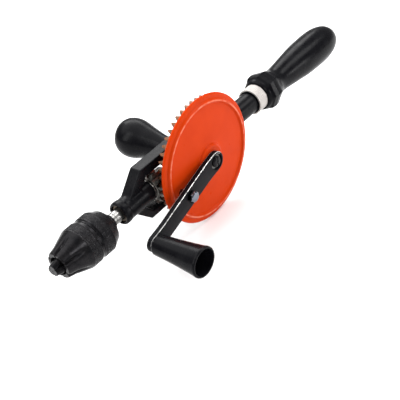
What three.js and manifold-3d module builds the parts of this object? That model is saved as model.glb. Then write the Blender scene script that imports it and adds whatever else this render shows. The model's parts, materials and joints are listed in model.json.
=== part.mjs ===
// Hand drill with a double-pinion frame. A large bevel gear wheel, turned by a crank, drives a small pinion on the
// spindle in front of the wheel's axle and an idler pinion behind it, and the spindle carries a three-jaw chuck.
// Lengths are millimetres. +X runs from the chuck to the main handle, the wheel's axle runs along Y with the crank
// at -Y, and +Z is up. The drill is laid out round the point where the spindle's axis crosses the wheel's axle, and
// the whole group is then shifted so that its box is centred in X and Y and stands on Z = 0.
import * as THREE from "three";
import { mergeVertices } from "three/addons/utils/BufferGeometryUtils.js";
import Module from "manifold-3d";

const wasm = await Module();
wasm.setup();

// ---- Driving dimensions ----

const GAP = 0.3; // clearance between pieces that touch or run on each other

const WHEEL_RADIUS = 48;
const WHEEL_TEETH = 52;
const PINION_TEETH = 13;
const HEEL_RADIUS = 45.8; // pitch radius of the wheel at the outer end of its teeth
const TOOTH_FACE = 9; // tooth length along the pitch cone
const PRESSURE_ANGLE = THREE.MathUtils.degToRad(25);
const BACKLASH = 0.22;

const JAW_TIP_X = -139.2;
const HANDLE_END_X = 204.7;
const GRIP_END = 68.7; // how far the crank's grip reaches out from the frame's middle plane
const KNOB_END = 66.5; // the same for the side handle

const FRAME_HALF_THICKNESS = 4.8;
const RAIL_TOP_Z = 21.6;
const RAIL_BOTTOM_Z = -19.4;
const RAIL_INNER_Z = 14.2;
const PILLAR_HALF_WIDTH = 10.5;
const FRAME_OUTLINE = [
  [-68.5, 7],
  [-54, RAIL_TOP_Z],
  [40, RAIL_TOP_Z],
  [47, 18.6],
  [53, 14],
  [57.5, 8],
  [57.5, -8],
  [53, -13],
  [47, -17],
  [41, RAIL_BOTTOM_Z],
  [-53.5, RAIL_BOTTOM_Z],
  [-66, -7],
];
// The upper edge of each window, from the pillar out. The lower edge mirrors it.
const FRONT_WINDOW = [
  [-PILLAR_HALF_WIDTH, RAIL_INNER_Z],
  [-50.5, RAIL_INNER_Z],
  [-60, 4.5],
];
const REAR_WINDOW = [
  [PILLAR_HALF_WIDTH, RAIL_INNER_Z],
  [46.8, RAIL_INNER_Z],
  [53, 8],
];
const FRONT_BOSS = { from: -78, to: -48, radius: 8.5 };
const REAR_BOSS = { from: 48, to: 77.2, radius: 8.6 };
const CROSS_BOSS = { from: -7.4, to: 10, radius: 9.5 };
const SPINDLE_RADIUS = 4.6;
const SHAFT_RADIUS = 4.4;
const AXLE_RADIUS = 4.5;

const BUSHING = { from: -76.4, to: -60, outer: 6.4 };
const THRUST_BOSS = { from: -20, to: -6.5, radius: 7.4 };
const BALL_RADIUS = 2.4;
const BALL_X = -8.7;
const CHUCK_SOCKET_X = -98; // bottom of the chuck's threaded socket
const PINION_HUB = { front: -46.4, back: -29.5, frontRadius: 8.2, backRadius: 7.6 };
const PIN_X = -33;
const PIN_RADIUS = 1.2;
const PIN_LENGTH = 14.4;
const THRUST_WASHER_RADIUS = 7.4;
const IDLER_HUB_BACK = -31.5;
const IDLER_HEAD = { from: 28.4, to: 31.2, radius: 6.6 };
const IDLER_SHAFT_END = 60;
const ROD_RADIUS = 4;
const ROD_START = 65;
const ROD_END = 148;
const AXLE_INNER_Y = 1.2;
const STUD_RADIUS = 3.1;
const STUD_START = 2;
const STUD_END = 40;

const HUB_BACK = 9; // the wheel's hub runs from here...
const HUB_FRONT = 20.6; // ...to here, measured out along the axle
const HUB_WASHER_RADIUS = 9;
const ARM_THICKNESS = 4;
const ARM_HUB_BACK = HUB_FRONT + GAP; // the crank's arm leans outward from here at its hub...
const ARM_TIP_BACK = 25.3; // ...to here at the grip
const ARM_LEAN = { from: 10, to: 68 }; // the stretch of its length over which it does so
const CRANK_RADIUS = 78.3;
const CRANK_DROP = THREE.MathUtils.degToRad(11.3); // the crank at rest points forward and this much down
const CRANK_BOLT_RADIUS = 34;
const BOLT_SEAT = { height: 26.3, radius: 4.9 };
const ARM_HUB_RADIUS = 7.4;
const ARM_END_RADIUS = 6.2;
const CRANK_TURN = Math.PI - CRANK_DROP; // turn about +Y from +X to the crank's place at rest
const HUB_POCKET = 5.8; // radius of the pocket round the axle screw
const POCKET_FLOOR = ARM_HUB_BACK + 1.3;
const SCREW_RADIUS = 2.5;
const SCREW_START = ARM_HUB_BACK - 8;
const SCREW_HEAD_RADIUS = 4.2;
const BOLT_RADIUS = 2.2;
const BOLT_HEAD_RADIUS = 4.4;
const BOLT_END = 15.6; // how deep the bolt goes into the wheel's disc
const PIN_SHANK = 2.6;
const PIN_HEAD = 4.3;
const GRIP_START = ARM_TIP_BACK + ARM_THICKNESS + GAP;
const GRIP_WEB = 6.5; // thickness of the grip's inner end, which turns on the pin
const GRIP_WASHER_RADIUS = 5;
const WASHER_THICKNESS = 1;

const JAW_ANGLE = THREE.MathUtils.degToRad(15);
const JAW_RADIUS = 2.8;
const JAW_LENGTH = 21.24;
const JAW_TRAVEL = 12;
const JAW_TIP_OFFSET = 1.32; // distance of a jaw's own axis from the spindle's axis at the tip
const JAW_SPLIT = 0.17; // half the gap between closed jaws
const SLEEVE_NOSE_X = -134;
const SLEEVE_REAR_X = -106.6;
const FLUTES = { count: 6, radius: 7, depth: 1.2, lean: THREE.MathUtils.degToRad(22) };
const BIT_BORE = { radius: 3.5, end: -108 };
const NUT = { from: -116.2, to: -113.2, inner: 11.5, outer: 13.0 };

const HANDLE_START_X = REAR_BOSS.to + GAP;
const FERRULE = { inner: 9.6, outer: 10.7, length: 10 };
const GUARD_SIDES = 8;

// ---- Bevel gearing, worked out from the dimensions above ----

const GEAR_CONE = Math.atan2(WHEEL_TEETH, PINION_TEETH);
const PINION_CONE = Math.PI / 2 - GEAR_CONE;
const CONE_DISTANCE = HEEL_RADIUS / Math.sin(GEAR_CONE);
const TOE_SCALE = 1 - TOOTH_FACE / CONE_DISTANCE;
const PINION_TOE = HEEL_RADIUS * TOE_SCALE; // distance of the pinions' small ends from the wheel's axle
const TOOTH_MODULE = (2 * HEEL_RADIUS) / WHEEL_TEETH;
const GEAR_ADDENDUM = 0.9 * TOOTH_MODULE;
const PINION_ADDENDUM = 1.0 * TOOTH_MODULE;
const TIP_CLEARANCE = 0.25 * TOOTH_MODULE;

// ---- Materials ----

const material = (color, roughness, metalness) => new THREE.MeshStandardMaterial({ color, roughness, metalness });
const BLACK_ENAMEL = material(0x1c1c1e, 0.45, 0.1);
const ORANGE_ENAMEL = material(0xe8481f, 0.35, 0.0);
const BLACK_OXIDE = material(0x26262a, 0.5, 0.7);
const BRIGHT_STEEL = material(0xb8b8ba, 0.3, 1.0);
const CHROME = material(0xdedee2, 0.12, 1.0);
const BRONZE = material(0x9a6a3c, 0.4, 1.0);
const BLACK_PLASTIC = material(0x141416, 0.25, 0.0);

// ---- Geometry helpers ----

function solid(geometry) {
  const bare = geometry.clone();
  bare.deleteAttribute("normal");
  bare.deleteAttribute("uv");
  const merged = mergeVertices(bare, 1e-4);
  const vertProperties = new Float32Array(merged.attributes.position.array);
  const triVerts = new Uint32Array(merged.index.array);
  return new wasm.Manifold(new wasm.Mesh({ numProp: 3, vertProperties, triVerts }));
}

function geometryOf(manifold) {
  const mesh = manifold.getMesh();
  const geometry = new THREE.BufferGeometry();
  geometry.setAttribute("position", new THREE.BufferAttribute(new Float32Array(mesh.vertProperties), 3));
  geometry.setIndex(new THREE.BufferAttribute(new Uint32Array(mesh.triVerts), 1));
  geometry.computeVertexNormals();
  return geometry;
}

const join = (...parts) => parts.map(solid).reduce((a, b) => a.add(b));
const cut = (body, ...tools) => tools.map(solid).reduce((a, b) => a.subtract(b), body);

// A turned solid about Y from [radius, height] points. The outline closes on itself, or on the axis.
function turned(outline, segments = 24) {
  const points = outline.map(([radius, height]) => new THREE.Vector2(radius, height));
  const onAxis = points[0].x === 0 && points.at(-1).x === 0;
  if (!onAxis) points.push(points[0].clone());
  if (THREE.ShapeUtils.area(points) < 0) points.reverse();
  return new THREE.LatheGeometry(points, segments);
}

// The same about X: heights run along +X.
const turnedX = (outline, segments) => turned(outline, segments).rotateZ(-Math.PI / 2);

// The same about the wheel's axle: heights run out along -Y.
const turnedOut = (outline, segments) => turned(outline, segments).rotateX(Math.PI);

const ringOutline = (inner, outer, from, to) => [
  [inner, from],
  [outer, from],
  [outer, to],
  [inner, to],
];

const rodOutline = (radius, from, to) => [
  [0, from],
  [radius, from],
  [radius, to],
  [0, to],
];

// A flat plate from a THREE.Shape, lying between two heights along Z.
function plate(shape, from, to) {
  const depth = to - from;
  return new THREE.ExtrudeGeometry(shape, { depth, bevelEnabled: false, curveSegments: 10 }).translate(0, 0, from);
}

// A shape with straight sides. Its corners may run either way round.
function polygon(corners) {
  const points = corners.map(([x, y]) => new THREE.Vector2(x, y));
  if (THREE.ShapeUtils.area(points) < 0) points.reverse();
  return new THREE.Shape(points);
}

// ---- Bevel teeth ----

const involute = (angle) => Math.tan(angle) - angle;

// Half the angle that a tooth takes up about its gear's axis, at a height above the pitch cone. The flank is an
// involute on the developed back cone.
function toothHalfAngle(teeth, cone, height) {
  const pitchRadius = CONE_DISTANCE * Math.tan(cone);
  const baseRadius = pitchRadius * Math.cos(PRESSURE_ANGLE);
  const radius = Math.max(pitchRadius + height, baseRadius);
  const flank = involute(PRESSURE_ANGLE) - involute(Math.acos(baseRadius / radius));
  const atPitch = (Math.PI * Math.cos(cone)) / (2 * teeth);
  return (atPitch + flank - BACKLASH / (2 * pitchRadius)) / Math.cos(cone);
}

// A ring of bevel teeth about +Y with the cone's apex at the origin. Its section runs from the heel of a tooth to
// the toe and back through the points of the backing outline. A tooth stands on +X, and with an odd count a space
// stands on -X.
function toothedRing({ teeth, cone, addendum, dedendum, backing }) {
  const pitch = (2 * Math.PI) / teeth;
  const flank = [-dedendum, addendum].map((height) => ({ height, half: toothHalfAngle(teeth, cone, height) }));
  const side = [...flank.map((p) => ({ ...p, half: -p.half })), ...flank.reverse()];
  const columns = [];
  for (let tooth = 0; tooth < teeth; tooth++) {
    for (const { height, half } of side) {
      columns.push({ height, angle: tooth * pitch + half });
    }
  }
  const ring = ({ height, angle }) => {
    const radius = CONE_DISTANCE * Math.sin(cone) + height * Math.cos(cone);
    const along = CONE_DISTANCE * Math.cos(cone) - height * Math.sin(cone);
    const section = [[radius, along], [radius * TOE_SCALE, along * TOE_SCALE], ...backing];
    return section.map(([r, y]) => [r * Math.cos(angle), y, -r * Math.sin(angle)]);
  };
  const rows = columns.map(ring);
  const size = rows[0].length;
  const index = [];
  rows.forEach((_, i) => {
    const next = (i + 1) % rows.length;
    for (let j = 0; j < size; j++) {
      const k = (j + 1) % size;
      const [a, b, c, d] = [i * size + j, next * size + j, next * size + k, i * size + k];
      index.push(a, c, b, a, d, c);
    }
  });
  const geometry = new THREE.BufferGeometry();
  geometry.setAttribute("position", new THREE.Float32BufferAttribute(rows.flat(2), 3));
  geometry.setIndex(index);
  return geometry;
}

// ---- Frame ----

function frameCasting() {
  const across = (shape, reach) => plate(shape, -reach, reach).rotateX(Math.PI / 2);
  const mirrored = (edge) => [...edge, ...edge.map(([x, z]) => [x, -z]).reverse()];
  const web = cut(
    solid(across(polygon(FRAME_OUTLINE), FRAME_HALF_THICKNESS)),
    ...[FRONT_WINDOW, REAR_WINDOW].map((edge) => across(polygon(mirrored(edge)), FRAME_HALF_THICKNESS + 1)),
  );
  const frontBoss = turnedX([
    [0, FRONT_BOSS.from],
    [FRONT_BOSS.radius - 1, FRONT_BOSS.from],
    [FRONT_BOSS.radius + 0.2, FRONT_BOSS.from + 1.4],
    [FRONT_BOSS.radius + 0.2, FRONT_BOSS.from + 5],
    [FRONT_BOSS.radius - 0.3, FRONT_BOSS.from + 6],
    [FRONT_BOSS.radius - 0.3, FRONT_BOSS.to],
    [0, FRONT_BOSS.to],
  ]);
  const rearBoss = turnedX(rodOutline(REAR_BOSS.radius, REAR_BOSS.from, REAR_BOSS.to));
  const crossBoss = turned(rodOutline(CROSS_BOSS.radius, CROSS_BOSS.from, CROSS_BOSS.to));
  const thrustBoss = turnedX(rodOutline(THRUST_BOSS.radius, THRUST_BOSS.from, THRUST_BOSS.to));
  return cut(
    web.add(join(frontBoss, rearBoss, crossBoss, thrustBoss)),
    turnedX(rodOutline(SPINDLE_RADIUS + 2 * GAP, FRONT_BOSS.from - 1, FRONT_BOSS.to + 1)),
    turnedX(rodOutline(BUSHING.outer + GAP, FRONT_BOSS.from - 1, BUSHING.to + GAP)),
    turnedX(rodOutline(SPINDLE_RADIUS + GAP, THRUST_BOSS.from - 1, BALL_X + BALL_RADIUS + GAP)),
    turnedX(rodOutline(SHAFT_RADIUS + GAP, REAR_BOSS.from - 1, IDLER_SHAFT_END + GAP)),
    turnedX(rodOutline(ROD_RADIUS + GAP, ROD_START - GAP, REAR_BOSS.to + 1)),
    turned(rodOutline(AXLE_RADIUS + GAP, CROSS_BOSS.from - 1, AXLE_INNER_Y + GAP)),
    turned(rodOutline(STUD_RADIUS + GAP, 0, CROSS_BOSS.to + 1)),
  );
}

const frontBushing = () => turnedX(ringOutline(SPINDLE_RADIUS + GAP, BUSHING.outer, BUSHING.from, BUSHING.to));

// ---- Spindle, pinions and their small parts ----

const pinBore = () => new THREE.CylinderGeometry(PIN_RADIUS + GAP, PIN_RADIUS + GAP, 30, 12).translate(PIN_X, 0, 0);

function spindle() {
  const end = BALL_X - BALL_RADIUS - GAP;
  const bar = solid(turnedX(rodOutline(SPINDLE_RADIUS, CHUCK_SOCKET_X + GAP, end)));
  return cut(bar, pinBore());
}

// A pinion about X on the chuck side, with a plain hub at each end of its teeth.
function pinion(bore, backX) {
  const toothing = toothedRing({
    teeth: PINION_TEETH,
    cone: PINION_CONE,
    addendum: PINION_ADDENDUM,
    dedendum: GEAR_ADDENDUM + TIP_CLEARANCE,
    backing: [
      [PINION_HUB.backRadius, PINION_TOE],
      [PINION_HUB.backRadius, -backX],
      [bore, -backX],
      [bore, -PINION_HUB.front],
      [PINION_HUB.frontRadius, -PINION_HUB.front],
    ],
  });
  return toothing.rotateZ(Math.PI / 2);
}

const drivePinion = () => cut(solid(pinion(SPINDLE_RADIUS + GAP, PINION_HUB.back)), pinBore());
const idlerPinion = () => pinion(SHAFT_RADIUS + GAP, IDLER_HUB_BACK).rotateY(Math.PI);

const pinionPin = () => new THREE.CylinderGeometry(PIN_RADIUS, PIN_RADIUS, PIN_LENGTH, 12).translate(PIN_X, 0, 0);

const thrustWasher = (bore, side) =>
  turnedX(ringOutline(bore, THRUST_WASHER_RADIUS, side * (FRONT_BOSS.to + GAP), side * (PINION_HUB.front - GAP)));

const thrustBall = () => new THREE.SphereGeometry(BALL_RADIUS, 16, 10).translate(BALL_X, 0, 0);

// A shoulder screw whose slotted head keeps the idler pinion on.
function idlerShaft() {
  const { from, to, radius } = IDLER_HEAD;
  const chamfer = 0.6;
  const screw = turnedX([
    [0, from],
    [radius - chamfer, from],
    [radius, from + chamfer],
    [radius, to],
    [SHAFT_RADIUS, to],
    [SHAFT_RADIUS, IDLER_SHAFT_END],
    [0, IDLER_SHAFT_END],
  ]);
  const slot = new THREE.BoxGeometry(2, 1.6, 20).translate(from, 0, 0);
  return cut(solid(screw), slot);
}

// ---- Gear wheel ----

function gearWheel() {
  const bead = [
    [43.8, 17.3],
    [43.0, 18.1],
    [42.1, 18.2],
    [41.2, 17.4],
  ];
  const disc = turnedOut([
    [AXLE_RADIUS + GAP, HUB_BACK],
    [9.6, HUB_BACK],
    [10.6, HUB_BACK + 1],
    [11.4, 14.2],
    [WHEEL_RADIUS - 0.6, 14.2],
    [WHEEL_RADIUS, 14.8],
    [WHEEL_RADIUS, 15.6],
    [WHEEL_RADIUS - 1, 16.6],
    ...bead,
    [14, 18.6],
    [12.4, 18.9],
    [11.8, HUB_FRONT - 0.6],
    [11.1, HUB_FRONT],
    [AXLE_RADIUS + GAP, HUB_FRONT],
  ], 48);
  const toothing = toothedRing({
    teeth: WHEEL_TEETH,
    cone: GEAR_CONE,
    addendum: GEAR_ADDENDUM,
    dedendum: PINION_ADDENDUM + TIP_CLEARANCE,
    backing: [
      [34.6, 12],
      [34.6, 15.4],
      [46.2, 15.4],
    ],
  });
  const boltHole = turnedOut(rodOutline(BOLT_RADIUS + GAP, BOLT_END - GAP, HUB_FRONT), 16)
    .translate(CRANK_BOLT_RADIUS, 0, 0)
    .rotateY(CRANK_TURN);
  return cut(join(disc, toothing.rotateX(Math.PI)), boltHole);
}

// The axle: a plain stud with a tapped hole in its outer end.
function wheelAxle() {
  const outerEnd = POCKET_FLOOR;
  const stud = solid(turnedOut(rodOutline(AXLE_RADIUS, -AXLE_INNER_Y, outerEnd)));
  return cut(stud, turnedOut(rodOutline(SCREW_RADIUS + GAP, SCREW_START - GAP, outerEnd + 1)));
}

const hubWasher = () =>
  turnedOut(ringOutline(AXLE_RADIUS + GAP, HUB_WASHER_RADIUS, -CROSS_BOSS.from + GAP, HUB_BACK - GAP));

// ---- Crank, built along +X from the wheel's axle ----

function crankArm() {
  const plan = new THREE.Shape();
  const lean = Math.asin((ARM_HUB_RADIUS - ARM_END_RADIUS) / CRANK_RADIUS);
  plan.absarc(0, 0, ARM_HUB_RADIUS, Math.PI / 2 - lean, (3 * Math.PI) / 2 + lean, false);
  plan.absarc(CRANK_RADIUS, 0, ARM_END_RADIUS, -Math.PI / 2 + lean, Math.PI / 2 - lean, false);
  plan.closePath();
  const farEnd = CRANK_RADIUS + 10;
  const back = [
    [-10, ARM_HUB_BACK],
    [ARM_LEAN.from, ARM_HUB_BACK],
    [ARM_LEAN.to, ARM_TIP_BACK],
    [farEnd, ARM_TIP_BACK],
  ];
  const front = back.map(([x, height]) => [x, height + ARM_THICKNESS]).reverse();
  const profile = polygon([...back, ...front].map(([x, height]) => [x, -height]));
  const below = ARM_HUB_BACK - 1;
  const above = GRIP_START + 1;
  const blank = solid(plate(plan, below, above).rotateX(Math.PI / 2));
  return cut(
    blank.intersect(solid(plate(profile, -10, 10))),
    turnedOut(rodOutline(AXLE_RADIUS + GAP, below, above)),
    turnedOut(rodOutline(HUB_POCKET, POCKET_FLOOR, above)),
    turnedOut(rodOutline(BOLT_RADIUS + GAP, below, above), 16).translate(CRANK_BOLT_RADIUS, 0, 0),
    turnedOut(rodOutline(BOLT_SEAT.radius, BOLT_SEAT.height, above)).translate(CRANK_BOLT_RADIUS, 0, 0),
    turnedOut(rodOutline(PIN_SHANK + GAP, below, above), 20).translate(CRANK_RADIUS, 0, 0),
  );
}

const axleWasher = () => {
  const from = POCKET_FLOOR + GAP;
  return turnedOut(ringOutline(SCREW_RADIUS + GAP, HUB_POCKET - GAP, from, from + WASHER_THICKNESS));
};

// The screw in the end of the axle, with its washer below it in the crank's pocket.
function axleScrew() {
  const washerTop = POCKET_FLOOR + GAP + WASHER_THICKNESS;
  const headFrom = washerTop + GAP;
  const screw = turnedOut([
    [0, SCREW_START],
    [SCREW_RADIUS, SCREW_START],
    [SCREW_RADIUS, headFrom],
    [SCREW_HEAD_RADIUS, headFrom],
    [SCREW_HEAD_RADIUS, headFrom + 0.9],
    [SCREW_HEAD_RADIUS - 1, headFrom + 1.8],
    [0, headFrom + 2.1],
  ]);
  const slot = new THREE.BoxGeometry(1.1, 2, 12).translate(0, -headFrom - 2.1, 0);
  return cut(solid(screw), slot);
}

// A domed bolt that ties the crank to the wheel's disc.
function crankBolt() {
  const headFrom = BOLT_SEAT.height + GAP;
  const head = turnedOut([
    [0, headFrom],
    [BOLT_HEAD_RADIUS, headFrom],
    [BOLT_HEAD_RADIUS, headFrom + 2.2],
    [3.6, headFrom + 3.2],
    [2.2, headFrom + 3.9],
    [0, headFrom + 4.2],
  ], 6);
  const shank = turnedOut(rodOutline(BOLT_RADIUS, BOLT_END, headFrom + 0.5), 16);
  return join(head, shank).translate([CRANK_BOLT_RADIUS, 0, 0]);
}

const atGrip = (geometry) => geometry.translate(CRANK_RADIUS, 0, 0);

// The grip's pin: riveted over behind the crank, with a head inside the grip's bore.
function gripPin() {
  const headFrom = GRIP_START + GRIP_WEB + GAP + WASHER_THICKNESS + GAP;
  return atGrip(turnedOut([
    [0, ARM_TIP_BACK - 1.8],
    [3.2, ARM_TIP_BACK - 1.8],
    [4.2, ARM_TIP_BACK - 0.9],
    [4.2, ARM_TIP_BACK - GAP],
    [PIN_SHANK, ARM_TIP_BACK - GAP],
    [PIN_SHANK, headFrom],
    [PIN_HEAD, headFrom],
    [PIN_HEAD, headFrom + 1.4],
    [PIN_HEAD - 1.2, headFrom + 2.2],
    [0, headFrom + 2.4],
  ]));
}

function gripWasher() {
  const from = GRIP_START + GRIP_WEB + GAP;
  return atGrip(turnedOut(ringOutline(PIN_SHANK + GAP, GRIP_WASHER_RADIUS, from, from + WASHER_THICKNESS)));
}

// The grip: a tapered tube, open at its outer end.
const crankGrip = () =>
  atGrip(turnedOut([
    [PIN_SHANK + GAP, GRIP_START],
    [6.6, GRIP_START],
    [7.4, GRIP_START + 1],
    [7.6, GRIP_START + 6],
    [8.3, GRIP_START + 16],
    [9.4, GRIP_START + 27],
    [10.4, GRIP_END - 4],
    [10.8, GRIP_END - 1.4],
    [10.4, GRIP_END],
    [9.2, GRIP_END],
    [8.9, GRIP_END - 2],
    [7.6, GRIP_START + 20],
    [6.0, GRIP_START + GRIP_WEB + 2],
    [6.0, GRIP_START + GRIP_WEB],
    [PIN_SHANK + GAP, GRIP_START + GRIP_WEB],
  ]));

// ---- Chuck ----

// The sleeve: a fluted nose cone and a knurled band, hollow inside for the jaws.
function chuckSleeve() {
  const shell = solid(turnedX([
    [6.7, SLEEVE_NOSE_X],
    [9.0, SLEEVE_NOSE_X],
    [9.7, SLEEVE_NOSE_X + 0.8],
    [11.0, -128],
    [12.6, -123.8],
    [14.0, -119.8],
    [15.2, -116.8],
    [15.3, -109.2],
    [14.5, -108.6],
    [14.5, SLEEVE_REAR_X],
    [13.4, SLEEVE_REAR_X],
    [13.4, -116],
    [8.7, -128.3],
    [6.7, -131.5],
  ], 36));
  // Each flute is deepest at the nose and runs out where the knurled band starts.
  const noseRadius = 9.4;
  const flutes = Array.from({ length: FLUTES.count }, (_, i) =>
    turned(rodOutline(FLUTES.radius, -3, 22), 20)
      .rotateZ(-Math.PI / 2 + FLUTES.lean)
      .translate(SLEEVE_NOSE_X, noseRadius + FLUTES.radius - FLUTES.depth, 0)
      .rotateX(((i + 0.5) * 2 * Math.PI) / FLUTES.count),
  );
  return cut(shell, ...flutes);
}

// The line that jaw number `i` slides along, as a placing for a rod built about +Y from the jaw's tip.
function placeAlongJaw(geometry, i) {
  return geometry
    .rotateZ(-Math.PI / 2 + JAW_ANGLE)
    .translate(JAW_TIP_X, JAW_TIP_OFFSET, 0)
    .rotateX(Math.PI / 2 + (i * 2 * Math.PI) / 3);
}

// The body: a threaded socket for the spindle at the back, a bore for the drill bit and three slanting jaw ways.
function chuckBody() {
  const body = turnedX([
    [0, -128.2],
    [8.3, -128.2],
    [13.0, -115.7],
    [13.0, SLEEVE_REAR_X + GAP],
    [14.5, SLEEVE_REAR_X + GAP],
    [14.5, -105.2],
    [15.3, -104.6],
    [15.3, -97.4],
    [14.9, -96.6],
    [12.3, -91.2],
    [11.5, -90.4],
    [6.4, -90],
    [5.9, -89.4],
    [5.9, -85.8],
    [0, -85.8],
  ], 36);
  const ways = [0, 1, 2].map((i) =>
    placeAlongJaw(turned(rodOutline(JAW_RADIUS + GAP, -4, JAW_LENGTH + JAW_TRAVEL + GAP), 20), i),
  );
  return cut(
    solid(body),
    turnedX(rodOutline(BIT_BORE.radius, JAW_TIP_X, BIT_BORE.end)),
    turnedX(rodOutline(SPINDLE_RADIUS + GAP, CHUCK_SOCKET_X, -85)),
    turnedX(ringOutline(NUT.inner - GAP, 20, NUT.from - GAP, NUT.to + GAP)),
    ...ways,
  );
}

// One half of the split nut that turns with the sleeve and drives the jaws.
function chuckNutHalf(side) {
  const ring = solid(turnedX(ringOutline(NUT.inner, NUT.outer, NUT.from, NUT.to), 40));
  const other = new THREE.BoxGeometry(10, 40, 40).translate(NUT.from, 0, side * (20 - GAP / 2));
  return cut(ring, other);
}

// A jaw: a slanting rod whose inner sides meet the other two jaws' along the spindle's axis.
function jaw(i) {
  const rod = solid(placeAlongJaw(turned(rodOutline(JAW_RADIUS, -4, JAW_LENGTH), 20), i));
  const reach = 30;
  const inner = JAW_SPLIT / Math.sin(Math.PI / 3);
  const sector = polygon([
    [inner, 0],
    [inner + reach, reach * Math.sqrt(3)],
    [inner + reach, -reach * Math.sqrt(3)],
  ]);
  const wedge = plate(sector, 0, 40).rotateY(Math.PI / 2).rotateX(Math.PI).translate(JAW_TIP_X, 0, 0);
  const place = (geometry) => geometry.rotateX((i * 2 * Math.PI) / 3);
  const tip = turnedX([
    [0, JAW_TIP_X],
    [3.9, JAW_TIP_X],
    [4.7, JAW_TIP_X + 0.9],
    [12, JAW_TIP_X + 16],
    [12, JAW_TIP_X + 34],
    [0, JAW_TIP_X + 34],
  ], 30);
  return rod.intersect(solid(place(wedge))).intersect(solid(tip));
}

// ---- Handles ----

function mainHandle() {
  const spigot = FERRULE.inner - GAP;
  const front = HANDLE_START_X + FERRULE.length + GAP;
  const grip = turnedX([
    [0, HANDLE_START_X],
    [spigot, HANDLE_START_X],
    [spigot, front],
    [12.2, front],
    [12.6, front + 0.6],
    [12.6, 92.4],
    [13.4, 102.3],
    [11.6, 108.2],
    [10.9, 115.2],
    [11.2, 122.2],
    [12.6, 135.2],
    [14.2, 150.2],
    [14.9, 164.2],
    [15.0, 176.0],
    [14.4, 184.8],
    [12.9, 192.2],
    [10.2, 198.2],
    [6.0, 202.9],
    [0, HANDLE_END_X],
  ]);
  const guard = turnedX([
    [0, 90],
    [13.4, 90],
    [15.6, 92.4],
    [16.0, 97.4],
    [15.2, 102.4],
    [12.4, 107],
    [0, 107],
  ], GUARD_SIDES);
  return cut(join(grip, guard), turnedX(rodOutline(ROD_RADIUS + GAP, HANDLE_START_X - 1, ROD_END + GAP)));
}

const handleFerrule = () =>
  turnedX(ringOutline(FERRULE.inner, FERRULE.outer, HANDLE_START_X, HANDLE_START_X + FERRULE.length));

const handleRod = () => turnedX(rodOutline(ROD_RADIUS, ROD_START, ROD_END), 20);

function sideHandle() {
  const start = CROSS_BOSS.to + GAP;
  const knob = turned([
    [0, start],
    [8.2, start],
    [8.6, start + 0.8],
    [7.6, start + 4],
    [7.6, start + 9],
    [9.4, start + 19],
    [12.2, start + 29],
    [14.6, start + 37],
    [15.6, start + 43],
    [15.3, start + 48],
    [13.6, start + 52.6],
    [9.6, start + 55.4],
    [0, KNOB_END],
  ]);
  return cut(solid(knob), turned(rodOutline(STUD_RADIUS + GAP, start - 1, STUD_END + GAP), 20));
}

const sideStud = () => turned(rodOutline(STUD_RADIUS, STUD_START, STUD_END), 20);

// ---- Assembly ----

function mesh(name, shape, look) {
  const geometry = shape.isBufferGeometry ? shape : geometryOf(shape);
  const made = new THREE.Mesh(geometry, look);
  made.name = name;
  return made;
}

function groupOf(...members) {
  const group = new THREE.Group();
  group.add(...members);
  return group;
}

const fixedPieces = groupOf(
  mesh("frame", frameCasting(), BLACK_ENAMEL),
  mesh("front_bushing", frontBushing(), BRONZE),
  mesh("wheel_axle", wheelAxle(), BRIGHT_STEEL),
  mesh("axle_washer", axleWasher(), BRIGHT_STEEL),
  mesh("axle_screw", axleScrew(), BLACK_OXIDE),
  mesh("hub_washer", hubWasher(), BRIGHT_STEEL),
  mesh("idler_shaft", idlerShaft(), BRIGHT_STEEL),
  mesh("idler_washer", thrustWasher(SHAFT_RADIUS + GAP, -1), BRIGHT_STEEL),
  mesh("thrust_ball", thrustBall(), BRIGHT_STEEL),
  mesh("handle_rod", handleRod(), BRIGHT_STEEL),
  mesh("handle_ferrule", handleFerrule(), BRIGHT_STEEL),
  mesh("main_handle", mainHandle(), BLACK_PLASTIC),
  mesh("side_stud", sideStud(), BRIGHT_STEEL),
  mesh("side_handle", sideHandle(), BLACK_PLASTIC),
);

const spindlePieces = groupOf(
  mesh("spindle", spindle(), BRIGHT_STEEL),
  mesh("drive_pinion", drivePinion(), BRIGHT_STEEL),
  mesh("pinion_pin", pinionPin(), BRIGHT_STEEL),
  mesh("thrust_washer", thrustWasher(SPINDLE_RADIUS + GAP, 1), BRIGHT_STEEL),
  mesh("chuck_body", chuckBody(), BLACK_OXIDE),
  mesh("chuck_sleeve", chuckSleeve(), BLACK_OXIDE),
  ...[1, -1].map((side, i) => mesh(`chuck_nut_${i + 1}`, chuckNutHalf(side), BRIGHT_STEEL)),
  ...[0, 1, 2].map((i) => mesh(`jaw_${i + 1}`, jaw(i), BLACK_OXIDE)),
);

const crankPieces = groupOf(
  mesh("crank_arm", crankArm(), BLACK_ENAMEL),
  mesh("crank_bolt", crankBolt(), CHROME),
  mesh("grip_pin", gripPin(), BRIGHT_STEEL),
  mesh("grip_washer", gripWasher(), BRIGHT_STEEL),
  mesh("crank_grip", crankGrip(), BLACK_PLASTIC),
);
crankPieces.rotation.y = CRANK_TURN;

const drill = groupOf(
  fixedPieces,
  spindlePieces,
  mesh("idler_pinion", idlerPinion(), BRIGHT_STEEL),
  mesh("gear_wheel", gearWheel(), ORANGE_ENAMEL),
  crankPieces,
);
drill.position.set(-(JAW_TIP_X + HANDLE_END_X) / 2, -(KNOB_END - GRIP_END) / 2, WHEEL_RADIUS);

export default drill;
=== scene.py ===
"""Looks of the hand drill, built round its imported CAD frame. Run by Blender 4.5.

The drill is laid out round the apex, the point where the spindle's axis crosses the wheel's axle. Outlines
are lists of (radius, height) in millimetres from the apex: along +X for what is coaxial with the spindle, out
along -Y for the wheel and crank, and along +Y for the side handle. A third number on a corner is its fillet
radius.
"""
import json
import math

import bmesh
import bpy
from mathutils import Matrix, Vector


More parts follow.
